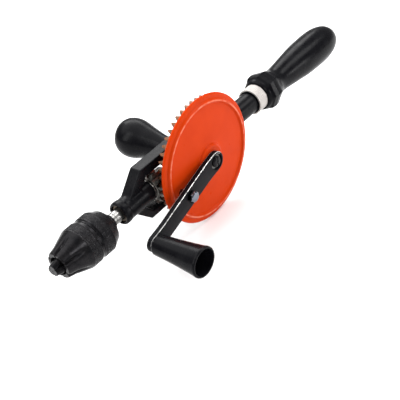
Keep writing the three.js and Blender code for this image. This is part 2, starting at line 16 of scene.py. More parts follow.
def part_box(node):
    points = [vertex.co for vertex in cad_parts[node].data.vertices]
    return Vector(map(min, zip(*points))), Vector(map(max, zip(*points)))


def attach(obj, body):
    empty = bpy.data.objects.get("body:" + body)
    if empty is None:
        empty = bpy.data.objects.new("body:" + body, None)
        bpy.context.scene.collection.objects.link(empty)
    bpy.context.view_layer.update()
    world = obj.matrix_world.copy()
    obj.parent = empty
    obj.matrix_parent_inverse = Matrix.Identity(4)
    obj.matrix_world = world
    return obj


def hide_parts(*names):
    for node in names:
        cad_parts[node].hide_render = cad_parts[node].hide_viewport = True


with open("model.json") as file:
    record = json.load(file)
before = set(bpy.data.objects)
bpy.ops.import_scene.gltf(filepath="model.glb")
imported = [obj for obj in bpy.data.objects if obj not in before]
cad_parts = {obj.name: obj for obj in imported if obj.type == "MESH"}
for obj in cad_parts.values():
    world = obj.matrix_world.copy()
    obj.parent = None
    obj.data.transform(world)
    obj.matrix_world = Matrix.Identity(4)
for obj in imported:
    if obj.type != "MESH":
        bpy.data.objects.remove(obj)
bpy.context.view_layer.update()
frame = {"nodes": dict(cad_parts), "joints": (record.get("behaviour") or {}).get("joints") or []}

MM = 0.001
JOINTS = {joint["name"]: joint for joint in frame["joints"]}
APEX = Vector(JOINTS["wheel_spin"]["pos_m"])
CRANK_PIVOT = Vector(JOINTS["grip_spin"]["pos_m"])
CRANK_REACH = math.hypot(CRANK_PIVOT.x - APEX.x, CRANK_PIVOT.z - APEX.z) / MM
CRANK_ANGLE = math.atan2(CRANK_PIVOT.z - APEX.z, CRANK_PIVOT.x - APEX.x)


def from_apex(node, corner, axis):
    """A CAD node's lowest (0) or highest (1) coordinate along an axis, in millimetres from the apex."""
    return (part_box(node)[corner][axis] - APEX[axis]) / MM


# ---------------------------------------------------------------- outlines


def filleted(outline, closed=False, steps=5):
    """The outline with each corner that has a third number rounded to that radius."""
    count = len(outline)
    points = []
    for i, corner in enumerate(outline):
        here = Vector(corner[:2])
        inner = closed or 0 < i < count - 1
        if len(corner) < 3 or not inner:
            points.append(here)
            continue
        before = Vector(outline[i - 1][:2]) - here
        after = Vector(outline[(i + 1) % count][:2]) - here
        turn = before.angle(after)
        reach = corner[2] / math.tan(turn / 2)
        reach = min(reach, 0.48 * before.length, 0.48 * after.length)
        start = here + before.normalized() * reach
        end = here + after.normalized() * reach
        for k in range(steps + 1):
            t = k / steps
            points.append(start * (1 - t) ** 2 + here * 2 * t * (1 - t) + end * t * t)
    return points


def flowing(outline, steps=6):
    """A smooth curve through the outline's points (Catmull-Rom)."""
    points = [Vector(p[:2]) for p in outline]
    padded = [points[0] * 2 - points[1], *points, points[-1] * 2 - points[-2]]
    curve = []
    for a, b, c, d in zip(padded, padded[1:], padded[2:], padded[3:]):
        for k in range(steps):
            t = k / steps
            square, cube = 2 * a - 5 * b + 4 * c - d, 3 * b - a - 3 * c + d
            curve.append(0.5 * (2 * b + (c - a) * t + square * t**2 + cube * t**3))
    curve.append(points[-1])
    return curve


def refined(points, step):
    """The same line with a point at least every `step` along it."""
    dense = [points[0]]
    for a, b in zip(points, points[1:]):
        pieces = max(1, math.ceil((b - a).length / step))
        dense += [a.lerp(b, k / pieces) for k in range(1, pieces + 1)]
    return dense


# ---------------------------------------------------------------- mesh building

# for each axis: the directions of angle 0, of 90 degrees, and of rising height
DIRECTIONS = {
    "x": (Vector((0, 0, 1)), Vector((0, -1, 0)), Vector((1, 0, 0))),
    "out": (Vector((1, 0, 0)), Vector((0, 0, 1)), Vector((0, -1, 0))),
    "y": (Vector((1, 0, 0)), Vector((0, 0, -1)), Vector((0, 1, 0))),
}
SHARP = math.radians(32)


def finished(name, bm, material, body=None, sharp=SHARP):
    """A shaded object from a bmesh, with faces out, riding on a body."""
    bmesh.ops.remove_doubles(bm, verts=bm.verts, dist=1e-7)
    bmesh.ops.recalc_face_normals(bm, faces=bm.faces)
    mesh = bpy.data.meshes.new(name)
    bm.to_mesh(mesh)
    bm.free()
    mesh.shade_smooth()
    mesh.set_sharp_from_angle(angle=sharp)
    if material:
        mesh.materials.append(material)
    made = bpy.data.objects.new(name, mesh)
    bpy.context.scene.collection.objects.link(made)
    if body:
        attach(made, body)
    return made


def revolve(bm, points, axis="x", origin=APEX, segments=96, shape=None, closed=False):
    """Turns a line of (radius, height) points round an axis.

    `shape`, called with (angle, radius, height), gives the radius there.
    """
    side, up, along = DIRECTIONS[axis]
    rows = []
    for radius, height in points:
        centre = origin + along * height * MM
        if radius < 1e-6:
            rows.append([bm.verts.new(centre)])
            continue
        row = []
        for k in range(segments):
            angle = 2 * math.pi * k / segments
            r = (shape(angle, radius, height) if shape else radius) * MM
            row.append(bm.verts.new(centre + side * math.cos(angle) * r + up * math.sin(angle) * r))
        rows.append(row)
    pairs = list(zip(rows, rows[1:]))
    if closed:
        pairs.append((rows[-1], rows[0]))
    for low, high in pairs:
        for k in range(segments):
            n = (k + 1) % segments
            corners = [low[k % len(low)], low[n % len(low)], high[n % len(high)], high[k % len(high)]]
            unique = list(dict.fromkeys(corners))
            if len(unique) > 2:
                bm.faces.new(unique)


def turned(name, outline, material, body, axis="x", closed=False, **kw):
    """A piece turned from a filleted outline. A closed outline makes a ring."""
    bm = bmesh.new()
    revolve(bm, filleted(outline, closed), axis, closed=closed, **kw)
    return finished(name, bm, material, body)


def ring(inner, outer, low, high, edge=0.15):
    return [(inner, low, edge), (outer, low, edge), (outer, high, edge), (inner, high, edge)]


def rod(radius, low, high, edge=0.2):
    return [(0, low), (radius, low, edge), (radius, high, edge), (0, high)]


def prism(outline, low, high, edge=0.0, steps=3):
    """A bmesh plate from a closed outline of (x, z) millimetres, between two heights out along -Y."""
    bm = bmesh.new()
    place = lambda p, y: APEX + Vector((p[0], -y, p[1])) * MM
    bottom = [bm.verts.new(place(p, low)) for p in outline]
    top = [bm.verts.new(place(p, high)) for p in outline]
    bm.faces.new(bottom)
    bm.faces.new(reversed(top))
    for i in range(len(outline)):
        n = (i + 1) % len(outline)
        bm.faces.new((bottom[i], top[i], top[n], bottom[n]))
    bmesh.ops.recalc_face_normals(bm, faces=bm.faces)
    if edge:
        rims = [e for e in bm.edges if abs(e.verts[0].co.y - e.verts[1].co.y) < 1e-9]
        bmesh.ops.bevel(bm, geom=rims, offset=edge * MM, segments=steps, profile=0.5, affect="EDGES")
    return bm


def combine(target, tool, operation):
    """Joins or cuts the target with the tool, which is used up."""
    modifier = target.modifiers.new("combine", "BOOLEAN")
    modifier.operation = operation
    modifier.solver = "MANIFOLD"
    modifier.object = tool
    apply_modifiers(target)
    bpy.data.objects.remove(tool)


def apply_modifiers(target):
    graph = bpy.context.evaluated_depsgraph_get()
    mesh = bpy.data.meshes.new_from_object(target.evaluated_get(graph), depsgraph=graph)
    target.modifiers.clear()
    old = target.data
    target.data = mesh
    bpy.data.meshes.remove(old)


def tool_from(bm):
    return finished("tool", bm, None)


def turned_tool(outline, axis="x", closed=False, **kw):
    bm = bmesh.new()
    revolve(bm, filleted(outline, closed), axis, closed=closed, **kw)
    return tool_from(bm)


def smooth_again(target, sharp=SHARP):
    target.data.shade_smooth()
    target.data.set_sharp_from_angle(angle=sharp)


def soften(target, width, segments=3, angle=35):
    """Rounds the target's edges by a bevel."""
    modifier = target.modifiers.new("soften", "BEVEL")
    modifier.width = width * MM
    modifier.segments = segments
    modifier.limit_method = "ANGLE"
    modifier.angle_limit = math.radians(angle)
    modifier.use_clamp_overlap = True
    modifier.harden_normals = True


# ---------------------------------------------------------------- materials


class Look:
    """A node material in the making: a Principled surface and the patterns that drive it."""

    def __init__(self, name, color, roughness, metallic=0.0, **constants):
        self.material = bpy.data.materials.new(name)
        self.material.use_nodes = True
        self.tree = self.material.node_tree
        self.surface = self.tree.nodes["Principled BSDF"]
        self.surface.inputs["Base Color"].default_value = (*color, 1)
        self.surface.inputs["Roughness"].default_value = roughness
        self.surface.inputs["Metallic"].default_value = metallic
        for socket, value in constants.items():
            self.surface.inputs[socket.replace("_", " ")].default_value = value
        self.place = self.node("ShaderNodeTexCoord").outputs["Object"]
        self.height = None

    def node(self, kind, **settings):
        made = self.tree.nodes.new(kind)
        for key, value in settings.items():
            setattr(made, key, value)
        return made

    def link(self, a, b):
        self.tree.links.new(a, b)

    def noise(self, size, detail=3.0, rough=0.55, stretch=(1, 1, 1)):
        """A noise value whose features are about `size` millimetres across."""
        mapping = self.node("ShaderNodeMapping")
        mapping.inputs["Scale"].default_value = stretch
        self.link(self.place, mapping.inputs["Vector"])
        made = self.node("ShaderNodeTexNoise")
        made.inputs["Scale"].default_value = 1 / (size * MM)
        made.inputs["Detail"].default_value = detail
        made.inputs["Roughness"].default_value = rough
        self.link(mapping.outputs["Vector"], made.inputs["Vector"])
        return made.outputs["Fac"]

    def ramp(self, value, low, high, out_low=0.0, out_high=1.0):
        """The value from low to high taken to out_low to out_high, and held beyond."""
        made = self.node("ShaderNodeMapRange", clamp=True)
        made.inputs["From Min"].default_value = low
        made.inputs["From Max"].default_value = high
        made.inputs["To Min"].default_value = out_low
        made.inputs["To Max"].default_value = out_high
        self.link(value, made.inputs["Value"])
        return made.outputs["Result"]

    def math(self, operation, a, b):
        made = self.node("ShaderNodeMath", operation=operation)
        for socket, value in zip(made.inputs, (a, b)):
            if isinstance(value, (int, float)):
                socket.default_value = value
            else:
                self.link(value, socket)
        return made.outputs[0]

    def mix(self, share, a, b):
        """Colours a and b mixed by the share of b."""
        made = self.node("ShaderNodeMix", data_type="RGBA")
        self.link(share, made.inputs["Factor"])
        for socket, value in ((made.inputs["A"], a), (made.inputs["B"], b)):
            if isinstance(value, tuple):
                socket.default_value = (*value, 1)
            else:
                self.link(value, socket)
        return made.outputs["Result"]

    def edge_mask(self, radius, low=0.02, high=0.12):
        """1 along convex and concave edges, and 0 on flat faces, broken up by noise."""
        bevel = self.node("ShaderNodeBevel", samples=6)
        bevel.inputs["Radius"].default_value = radius * MM
        geometry = self.node("ShaderNodeNewGeometry")
        dot = self.node("ShaderNodeVectorMath", operation="DOT_PRODUCT")
        self.link(bevel.outputs["Normal"], dot.inputs[0])
        self.link(geometry.outputs["Normal"], dot.inputs[1])
        edge = self.ramp(self.math("SUBTRACT", 1.0, dot.outputs["Value"]), low, high)
        return self.math("MULTIPLY", edge, self.ramp(self.noise(2.5, 5), 0.42, 0.62))

    def off_axis(self, axis):
        """The distance, in metres, from the line through the apex along axis 0 (X), 1 (Y) or 2 (Z)."""
        shift = self.node("ShaderNodeVectorMath", operation="SUBTRACT")
        self.link(self.place, shift.inputs[0])
        shift.inputs[1].default_value = APEX
        flat = self.node("ShaderNodeVectorMath", operation="MULTIPLY")
        self.link(shift.outputs["Vector"], flat.inputs[0])
        flat.inputs[1].default_value = [float(k != axis) for k in range(3)]
        length = self.node("ShaderNodeVectorMath", operation="LENGTH")
        self.link(flat.outputs["Vector"], length.inputs[0])
        return length.outputs["Value"]

    def bump(self, value, depth):
        """Adds a height pattern `depth` millimetres deep."""
        made = self.node("ShaderNodeBump")
        made.inputs["Strength"].default_value = 1.0
        made.inputs["Distance"].default_value = depth * MM
        self.link(value, made.inputs["Height"])
        if self.height:
            self.link(self.height, made.inputs["Normal"])
        self.height = made.outputs["Normal"]
        self.link(self.height, self.surface.inputs["Normal"])

    def color(self, value):
        self.link(value, self.surface.inputs["Base Color"])

    def roughness(self, value):
        self.link(value, self.surface.inputs["Roughness"])

    def metallic(self, value):
        self.link(value, self.surface.inputs["Metallic"])


def black_enamel():
    look = Look("black_enamel", (0.003, 0.003, 0.004), 0.3, IOR=1.15)
    grain = look.noise(1.6, 6)
    wear = look.edge_mask(0.5)
    base = look.mix(look.ramp(look.noise(9, 3), 0.35, 0.7), (0.002, 0.002, 0.003), (0.006, 0.006, 0.007))
    look.color(look.mix(look.ramp(wear, 0, 1, 0, 0.3), base, (0.15, 0.15, 0.15)))
    look.roughness(look.ramp(grain, 0.3, 0.7, 0.24, 0.36))
    look.bump(grain, 0.05)
    look.bump(look.noise(0.5, 3), 0.012)
    return look.material


def crank_enamel():
    """Satin black, with a pale bare-steel line along the arm's upper edge: rubbed paint, and a painted
    highlight on the edge that faces the light.
    """
    look = Look("crank_enamel", (0.004, 0.004, 0.005), 0.3, IOR=1.14)
    geometry = look.node("ShaderNodeNewGeometry")
    axes = look.node("ShaderNodeSeparateXYZ")
    look.link(geometry.outputs["Normal"], axes.inputs["Vector"])
    facing = look.math("ABSOLUTE", axes.outputs["Y"], 0.0)
    edge = look.math("MULTIPLY", look.ramp(facing, 0.2, 0.4), look.ramp(facing, 0.9, 0.985, 1, 0))
    across = look.node("ShaderNodeVectorMath", operation="DOT_PRODUCT")
    across.inputs[1].default_value = (-math.sin(CRANK_ANGLE), 0, math.cos(CRANK_ANGLE))
    look.link(look.place, across.inputs[0])
    middle = APEX.dot(Vector(across.inputs[1].default_value))
    # only the upper edge, where the light falls: the pale line there is partly a painted highlight
    above = look.ramp(across.outputs["Value"], middle - 4 * MM, middle - 3 * MM, 1, 0)
    patches = look.ramp(look.noise(4, 4), 0.36, 0.5, 0.25, 1)
    wear_and_glint = look.math("MULTIPLY", look.math("MULTIPLY", edge, above), patches)
    base = look.mix(look.ramp(look.noise(6, 4), 0.35, 0.7), (0.003, 0.003, 0.004), (0.006, 0.006, 0.008))
    # pale bare steel: worn paint, and a painted highlight along the lit edge
    look.color(look.mix(wear_and_glint, base, (0.85, 0.84, 0.82)))
    look.metallic(look.ramp(wear_and_glint, 0, 1, 0, 0.6))
    look.roughness(look.ramp(look.noise(3, 5), 0.3, 0.7, 0.26, 0.4))
    look.bump(look.noise(1.2, 4), 0.02)
    return look.material


BEAD_RADIUS = 42.6  # of the raised bead near the wheel's edge


def orange_enamel():
    """Glossy orange-red, paler along the crest of the wheel's raised bead and along its edges: rubbed paint,
    and a painted highlight there.
    """
    look = Look("orange_enamel", (0.49, 0.034, 0.002), 0.32, IOR=1.12)
    tone = look.ramp(look.noise(14, 4), 0.3, 0.7)
    base = look.mix(tone, (0.47, 0.033, 0.002), (0.51, 0.038, 0.003))
    # a pale band on the bead's crest: a painted highlight, and paint rubbed paler
    reach = look.off_axis(1)
    inside = look.ramp(reach, (BEAD_RADIUS - 0.8) * MM, (BEAD_RADIUS - 0.2) * MM)
    outside = look.ramp(reach, (BEAD_RADIUS + 0.2) * MM, (BEAD_RADIUS + 0.8) * MM, 1, 0)
    crest = look.math("MULTIPLY", inside, outside)
    crest = look.math("MULTIPLY", crest, look.ramp(look.noise(6, 3), 0.4, 0.55, 0.1, 0.45))
    wear_and_glint = look.math("MAXIMUM", crest, look.ramp(look.edge_mask(0.5), 0, 1, 0, 0.4))
    # the pale colour of the bead's crest and the edges: a painted highlight, and rubbed paint
    look.color(look.mix(wear_and_glint, base, (0.85, 0.36, 0.24)))
    look.roughness(look.ramp(look.noise(4, 5), 0.3, 0.7, 0.27, 0.37))
    look.bump(look.noise(1.4, 2), 0.008)
    return look.material


def black_oxide():
    look = Look("black_oxide", (0.01, 0.01, 0.011), 0.3, 0.45, IOR=1.2)
    wear = look.edge_mask(0.35)
    base = look.mix(look.ramp(look.noise(5, 5), 0.35, 0.7), (0.005, 0.005, 0.006), (0.014, 0.013, 0.014))
    look.color(look.mix(look.ramp(wear, 0, 1, 0, 0.5), base, (0.22, 0.22, 0.23)))
    look.roughness(look.ramp(look.noise(1.5, 6), 0.3, 0.7, 0.22, 0.34))
    look.bump(look.noise(0.35, 4, stretch=(4, 1, 1)), 0.006)
    return look.material


def steel(name, color, low, high, lathe_axis=0, darkening=0.25, metallic=1.0):
    """Turned or ground steel: fine rings round one axis, with darker oily patches."""
    look = Look(name, color, low, metallic)
    stretch = [0.15, 0.15, 0.15]
    stretch[lathe_axis] = 6
    rings = look.noise(0.5, 4, stretch=tuple(stretch))
    dark = tuple(c * 0.45 for c in color)
    look.color(look.mix(look.ramp(look.noise(3.5, 5), 0.5, 0.75, 0, darkening), color, dark))
    look.roughness(look.ramp(rings, 0.3, 0.7, low, high))
    look.bump(rings, 0.006)
    return look.material


def toothed_metal(name, color, dark, hub=0.0):
    """Cut gear teeth: bright flanks, painted shade in the roots and corners and on a hub of that radius, and
    darker patches at random.
    """
    look = Look(name, color, 0.35, 1.0)
    shade = look.node("ShaderNodeAmbientOcclusion", samples=8)
    shade.inputs["Distance"].default_value = 2.5 * MM
    # painted shade: darker where the teeth hem each other in, in the roots and corners
    darkening = look.ramp(shade.outputs["AO"], 0.35, 0.8, 0.85, 0.0)
    patches = look.ramp(look.noise(2.2, 5), 0.45, 0.7, 0.0, 0.35)
    # painted shade over the hub, inside its radius
    darkening = look.math("MAXIMUM", darkening, look.ramp(look.off_axis(0), hub * MM, (hub + 0.6) * MM, 0.97, 0.0))
    look.color(look.mix(look.math("MAXIMUM", darkening, patches), color, dark))
    look.roughness(look.ramp(look.noise(1.0, 5), 0.3, 0.7, 0.28, 0.5))
    look.bump(look.noise(0.4, 4, stretch=(1, 1, 3)), 0.01)
    return look.material


def black_plastic():
    look = Look("black_plastic", (0.003, 0.003, 0.004), 0.3, IOR=1.14)
    look.color(look.mix(look.ramp(look.noise(12, 4), 0.35, 0.7), (0.002, 0.002, 0.003),
                        (0.005, 0.005, 0.006)))
    scratches = look.ramp(look.noise(1.1, 7, 0.7, stretch=(0.3, 1, 1)), 0.6, 0.75, 0, 0.16)
    look.roughness(look.math("ADD", look.ramp(look.noise(7, 4), 0.3, 0.7, 0.22, 0.32), scratches))
    look.bump(look.noise(5, 3), 0.035)
    look.bump(look.noise(0.6, 3), 0.004)
    return look.material


def bronze():
    look = Look("bronze", (0.06, 0.045, 0.03), 0.4, 1.0)
    look.color(look.mix(look.ramp(look.noise(2, 5), 0.35, 0.7), (0.03, 0.024, 0.018), (0.09, 0.065, 0.04)))
    look.roughness(look.ramp(look.noise(0.8, 4), 0.3, 0.7, 0.32, 0.5))
    return look.material


LOOKS = {
    "black_enamel": black_enamel(),
    "crank_enamel": crank_enamel(),
    "orange_enamel": orange_enamel(),
    "black_oxide": black_oxide(),
    "bright_steel": steel("bright_steel", (0.27, 0.265, 0.255), 0.24, 0.38),
    "dark_steel": steel("dark_steel", (0.10, 0.10, 0.095), 0.3, 0.45, lathe_axis=1),
    "cross_steel": steel("cross_steel", (0.40, 0.39, 0.38), 0.22, 0.38, lathe_axis=1),
    "ferrule_steel": steel("ferrule_steel", (0.40, 0.375, 0.355), 0.38, 0.55, darkening=0.2, metallic=0.6),
    "chrome": steel("chrome", (0.15, 0.16, 0.19), 0.05, 0.12, lathe_axis=1, darkening=0.9),
    # the pinions' hubs, inside 7.7 mm, are painted in shade
    "pinion_steel": toothed_metal("pinion_steel", (0.32, 0.30, 0.28), (0.012, 0.010, 0.009), hub=7.7),
    "tooth_bronze": toothed_metal("tooth_bronze", (0.13, 0.062, 0.036), (0.02, 0.008, 0.005)),
    "black_plastic": black_plastic(),
    "bronze": bronze(),
}

# ---------------------------------------------------------------- where the CAD nodes are

SPINDLE_RADIUS = from_apex("spindle", 1, 2)


def span(node, axis="x"):
    """How far a CAD node reaches along an axis direction: (low, high) in millimetres from the apex."""
    if axis == "out":
        return -from_apex(node, 1, 1), -from_apex(node, 0, 1)
    index = {"x": 0, "y": 1}[axis]
    return from_apex(node, 0, index), from_apex(node, 1, index)


def replace(piece, slot, *nodes):
    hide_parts(*nodes)
    return piece


def small_ring(node, inner, body, look="bright_steel", slot="bright_steel", axis="x", origin=APEX):
    """A washer or bushing where its CAD node is, turned finely with broken edges."""
    low, high = span(node, axis)
    outer = (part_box(node)[1].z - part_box(node)[0].z) / 2 / MM
    outline = ring(inner, outer, low, high, 0.2)
    piece = turned(node + "_turned", outline, LOOKS[look], body, axis, closed=True, origin=origin,
                   segments=64)
    return replace(piece, slot, node)


# ---------------------------------------------------------------- bevel gearing

WHEEL_TEETH, PINION_TEETH = 52, 13
HEEL_RADIUS = 45.8
TOOTH_FACE = 9.0
PRESSURE_ANGLE = math.radians(25)
BACKLASH = 0.22
GEAR_CONE = math.atan2(WHEEL_TEETH, PINION_TEETH)
CONE_DISTANCE = HEEL_RADIUS / math.sin(GEAR_CONE)
TOE_SCALE = 1 - TOOTH_FACE / CONE_DISTANCE
PINION_TOE = HEEL_RADIUS * TOE_SCALE
TOOTH_MODULE = 2 * HEEL_RADIUS / WHEEL_TEETH
GEAR_ADDENDUM, PINION_ADDENDUM = 0.9 * TOOTH_MODULE, TOOTH_MODULE
TIP_CLEARANCE = 0.25 * TOOTH_MODULE
TIP_CHAMFER = 0.22
PINION_BACK = 46.4


def involute(angle):
    return math.tan(angle) - angle


def tooth_half_angle(teeth, cone, height):
    """Half the angle a tooth takes up about its axis, at a height above the pitch cone."""
    pitch_radius = CONE_DISTANCE * math.tan(cone)
    base_radius = pitch_radius * math.cos(PRESSURE_ANGLE)
    radius = max(pitch_radius + height, base_radius)
    flank = involute(PRESSURE_ANGLE) - involute(math.acos(base_radius / radius))
    at_pitch = math.pi * math.cos(cone) / (2 * teeth)
    return (at_pitch + flank - BACKLASH / (2 * pitch_radius)) / math.cos(cone)


def toothed_ring(teeth, cone, addendum, dedendum, backing, side, along):
    """A bmesh ring of bevel teeth about `along` through the apex. A tooth stands on `side`."""
    up = along.cross(side)
    rise = addendum + dedendum - TIP_CHAMFER
    flank = [(-dedendum + rise * k / 5, 1.0) for k in range(6)] + [(addendum, 0.84)]
    flank = [(height, narrow * tooth_half_angle(teeth, cone, height)) for height, narrow in flank]
    profile = [(height, -half) for height, half in flank]
    profile += [(height, half) for height, half in reversed(flank)]
    bm = bmesh.new()
    rows = []
    for tooth in range(teeth):
        for height, offset in profile:
            angle = 2 * math.pi * tooth / teeth + offset
            radius = CONE_DISTANCE * math.sin(cone) + height * math.cos(cone)
            reach = CONE_DISTANCE * math.cos(cone) - height * math.sin(cone)
            section = [(radius * s, reach * s) for s in (1, (1 + TOE_SCALE) / 2, TOE_SCALE)] + backing
            spoke = side * math.cos(angle) + up * math.sin(angle)
            rows.append([bm.verts.new(APEX + (spoke * r + along * h) * MM) for r, h in section])
    for row, after in zip(rows, rows[1:] + rows[:1]):
        for k in range(len(row)):
            n = (k + 1) % len(row)
            bm.faces.new((row[k], row[n], after[n], after[k]))
    return bm


def pinion(name, node, body, sign, bore, hub_end):
    """The pinion on the spindle (sign -1) or the idler behind the axle (sign 1)."""
    backing = [(7.5, PINION_TOE), (7.6, PINION_TOE - 0.4), (7.6, hub_end + 0.4), (7.2, hub_end),
               (bore + 0.3, hub_end), (bore, hub_end + 0.3), (bore, PINION_BACK - 0.3),
               (bore + 0.3, PINION_BACK), (7.8, PINION_BACK), (8.2, PINION_BACK - 0.4)]
    teeth = toothed_ring(PINION_TEETH, math.pi / 2 - GEAR_CONE, PINION_ADDENDUM,
                         GEAR_ADDENDUM + TIP_CLEARANCE, backing, Vector((0, 1, 0)), Vector((sign, 0, 0)))
    piece = finished(name, teeth, LOOKS["pinion_steel"], body, math.radians(28))
    return replace(piece, "pinion_steel", node)


# ---------------------------------------------------------------- frame

PLATE_HALF = 4.8
RAIL_TOP, RAIL_BOTTOM, RAIL_INNER = from_apex("frame", 1, 2), from_apex("frame", 0, 2), 14.2
FRONT_FACE, REAR_FACE = span("frame")
CROSS_IN, CROSS_OUT = span("hub_washer", "out")[0] - 0.3, from_apex("frame", 1, 1)
FRAME_OUTLINE = [(-68.5, 7), (-54, RAIL_TOP), (40, RAIL_TOP), (47, 18.6), (53, 14), (57.5, 8), (57.5, -8),
                 (53, -13), (47, -17), (41, RAIL_BOTTOM), (-53.5, RAIL_BOTTOM), (-66, -7)]
WINDOW_EDGES = ([(-10.5, RAIL_INNER), (-50.5, RAIL_INNER), (-60, 4.5)],
                [(10.5, RAIL_INNER), (46.8, RAIL_INNER), (53, 8)])


def frame_casting():
    casting = finished("frame_casting", prism(FRAME_OUTLINE, -PLATE_HALF, PLATE_HALF),
                       LOOKS["black_enamel"], "frame")
    for edge in WINDOW_EDGES:
        window = edge + [(x, -z) for x, z in reversed(edge)]
        combine(casting, tool_from(prism(window, -9, 9)), "DIFFERENCE")
    front_boss = [(0, FRONT_FACE), (7.8, FRONT_FACE, 0.5), (8.7, FRONT_FACE + 1.3, 0.5),
                  (8.7, FRONT_FACE + 5, 0.5), (8.2, FRONT_FACE + 5.8, 0.5), (8.2, -48, 0.6), (0, -48)]
    bosses = [(front_boss, "x"), (rod(8.6, 48, REAR_FACE, 0.6), "x"), (rod(7.4, -20, -6.5, 0.6), "x"),
              (rod(9.5, CROSS_IN, 0, 0.5), "out"), (rod(9.5, 0, CROSS_OUT, 0.5), "y")]
    for outline, axis in bosses:
        combine(casting, turned_tool(outline, axis, segments=72), "UNION")
    bushing_end = span("front_bushing")[1]
    bores = [(rod(SPINDLE_RADIUS + 0.6, FRONT_FACE - 1, -47), "x"),
             (rod(6.75, FRONT_FACE - 1, bushing_end + 0.3), "x"), (rod(SPINDLE_RADIUS + 0.4, -21, -6), "x"),
             (rod(4.8, 47, 60.3), "x"), (rod(4.4, 64.7, REAR_FACE + 1), "x"), (rod(4.9, -1.5, 8.5), "out"),
             (rod(3.5, 0, CROSS_OUT + 1), "y")]
    for outline, axis in bores:
        combine(casting, turned_tool(outline, axis, segments=48), "DIFFERENCE")
    cast = casting.modifiers.new("cast", "REMESH")
    cast.mode = "VOXEL"
    cast.voxel_size = 0.5 * MM
    rounding = casting.modifiers.new("rounding", "SMOOTH")
    rounding.factor = 0.5
    rounding.iterations = 6
    apply_modifiers(casting)
    smooth_again(casting, math.pi)
    replace(casting, "black_enamel", "frame")


def idler_and_axle():
    small_ring("front_bushing", SPINDLE_RADIUS + 0.3, "frame", "bronze", "bronze")
    small_ring("hub_washer", 4.8, "frame", "cross_steel", axis="out")
    small_ring("idler_washer", 4.7, "frame")
    small_ring("axle_washer", 2.8, "frame", "dark_steel", axis="out")
    low, high = span("wheel_axle", "out")
    floor = high - 9.6
    outline = [(0, low), (4.5, low, 0.4), (4.5, high, 0.3), (2.8, high, 0.2), (2.8, floor), (0, floor)]
    axle = turned("wheel_axle_turned", outline, LOOKS["cross_steel"], "frame", "out", segments=64)
    replace(axle, "bright_steel", "wheel_axle")
    low, high = span("axle_screw", "out")
    head = high - 2.1
    outline = [(0, low), (2.0, low, 0.2), (2.5, low + 0.6, 0.1), (2.5, head, 0.1), (4.2, head, 0.15),
               (4.2, head + 1.0, 0.4), (3.1, head + 1.85, 0.8), (0, high)]
    screw = turned("axle_screw_turned", outline, LOOKS["black_oxide"], "frame", "out", segments=64)
    slot = [(-0.55, -6), (0.55, -6), (0.55, 6), (-0.55, 6)]
    combine(screw, tool_from(prism(slot, high - 1.0, high + 1)), "DIFFERENCE")
    smooth_again(screw)
    replace(screw, "black_oxide", "axle_screw")
    low, high = span("idler_shaft")
    outline = [(0, low), (5.9, low, 0.3), (6.6, low + 0.7, 0.3), (6.6, low + 2.8, 0.15), (4.4, low + 2.8),
               (4.4, high, 0.4), (0, high)]
    shaft = turned("idler_shaft_turned", outline, LOOKS["bright_steel"], "frame", segments=64)
    slot = [(low - 1, -0.8), (low + 1, -0.8), (low + 1, 0.8), (low - 1, 0.8)]
    combine(shaft, tool_from(prism(slot, -8, 8)), "DIFFERENCE")
    smooth_again(shaft)
    replace(shaft, "bright_steel", "idler_shaft")
    pinion("idler_pinion_cut", "idler_pinion", "idler", 1, 4.7, 31.5)


# ---------------------------------------------------------------- handles


def octagonal(angle, radius):
    """The radius of an octagon whose corners are at `radius`, at an angle."""
    step = math.pi / 4
    return radius * math.cos(step / 2) / math.cos(angle % step - step / 2)


def fade(value, low, high):
    """0 below low, 1 above high, and a smooth change between."""
    t = min(1.0, max(0.0, (value - low) / (high - low)))
    return t * t * (3 - 2 * t)


def main_handle():
    start, end = span("main_handle")
    front = span("handle_ferrule")[1] + 0.3
    grip = flowing([(16.0, 97.0), (15.3, 101.8), (13.3, 105.8), (11.6, 109.9), (10.9, 115.2), (11.3, 123),
                    (12.6, 135.2), (14.2, 150.2), (14.9, 164.2), (15.0, 176), (14.4, 185), (12.7, 192.9),
                    (10.0, 198.7), (6.2, 202.9), (3.0, 204.4), (0, end)])
    outline = filleted([(0, start), (9.3, start, 0.2), (9.3, front), (11.9, front, 0.2),
                        (12.4, front + 0.7, 0.4), (13.4, 90.2, 0.5), (15.4, 92.6, 1.6), (16.0, 97.0)])
    points = refined(outline[:-1] + grip, 0.9)

    def guard(angle, radius, height):
        share = fade(height, 89.0, 91.9) * (1 - fade(height, 102.4, 108.9))
        return radius + share * (octagonal(angle, radius) - radius)

    bm = bmesh.new()
    revolve(bm, points, "x", segments=160, shape=guard)
    handle = finished("main_handle_moulded", bm, LOOKS["black_plastic"], "frame", math.radians(24))
    combine(handle, turned_tool(rod(4.3, start - 1, span("handle_rod")[1] + 0.3), segments=48), "DIFFERENCE")
    smooth_again(handle, math.radians(24))
    replace(handle, "black_plastic", "main_handle")


def handle_ferrule():
    """A steel ring with fine straight knurling between two plain rims."""
    low, high = span("handle_ferrule")
    inner, outer = 9.6, from_apex("handle_ferrule", 1, 2)
    outline = filleted([(inner, low, 0.2), (outer, low, 0.3), (outer, high, 0.3), (inner, high, 0.2)],
                       closed=True)
    points = refined(outline + outline[:1], 0.4)[:-1]

    def knurled(angle, radius, height):
        share = fade(height, low + 1.3, low + 1.7) * (1 - fade(height, high - 1.7, high - 1.3))
        share *= fade(radius, inner + 0.5, outer - 0.2)
        return radius - 0.28 * share * (0.5 + 0.5 * math.cos(48 * angle))

    bm = bmesh.new()
    revolve(bm, points, "x", segments=480, shape=knurled, closed=True)
    ferrule = finished("handle_ferrule_knurled", bm, LOOKS["ferrule_steel"], "frame", math.radians(40))
    replace(ferrule, "ferrule_steel", "handle_ferrule")
    low, high = span("handle_rod")
    bar = turned("handle_rod_turned", rod(4.0, low, high, 0.5), LOOKS["bright_steel"], "frame", segments=48)
    replace(bar, "bright_steel", "handle_rod")


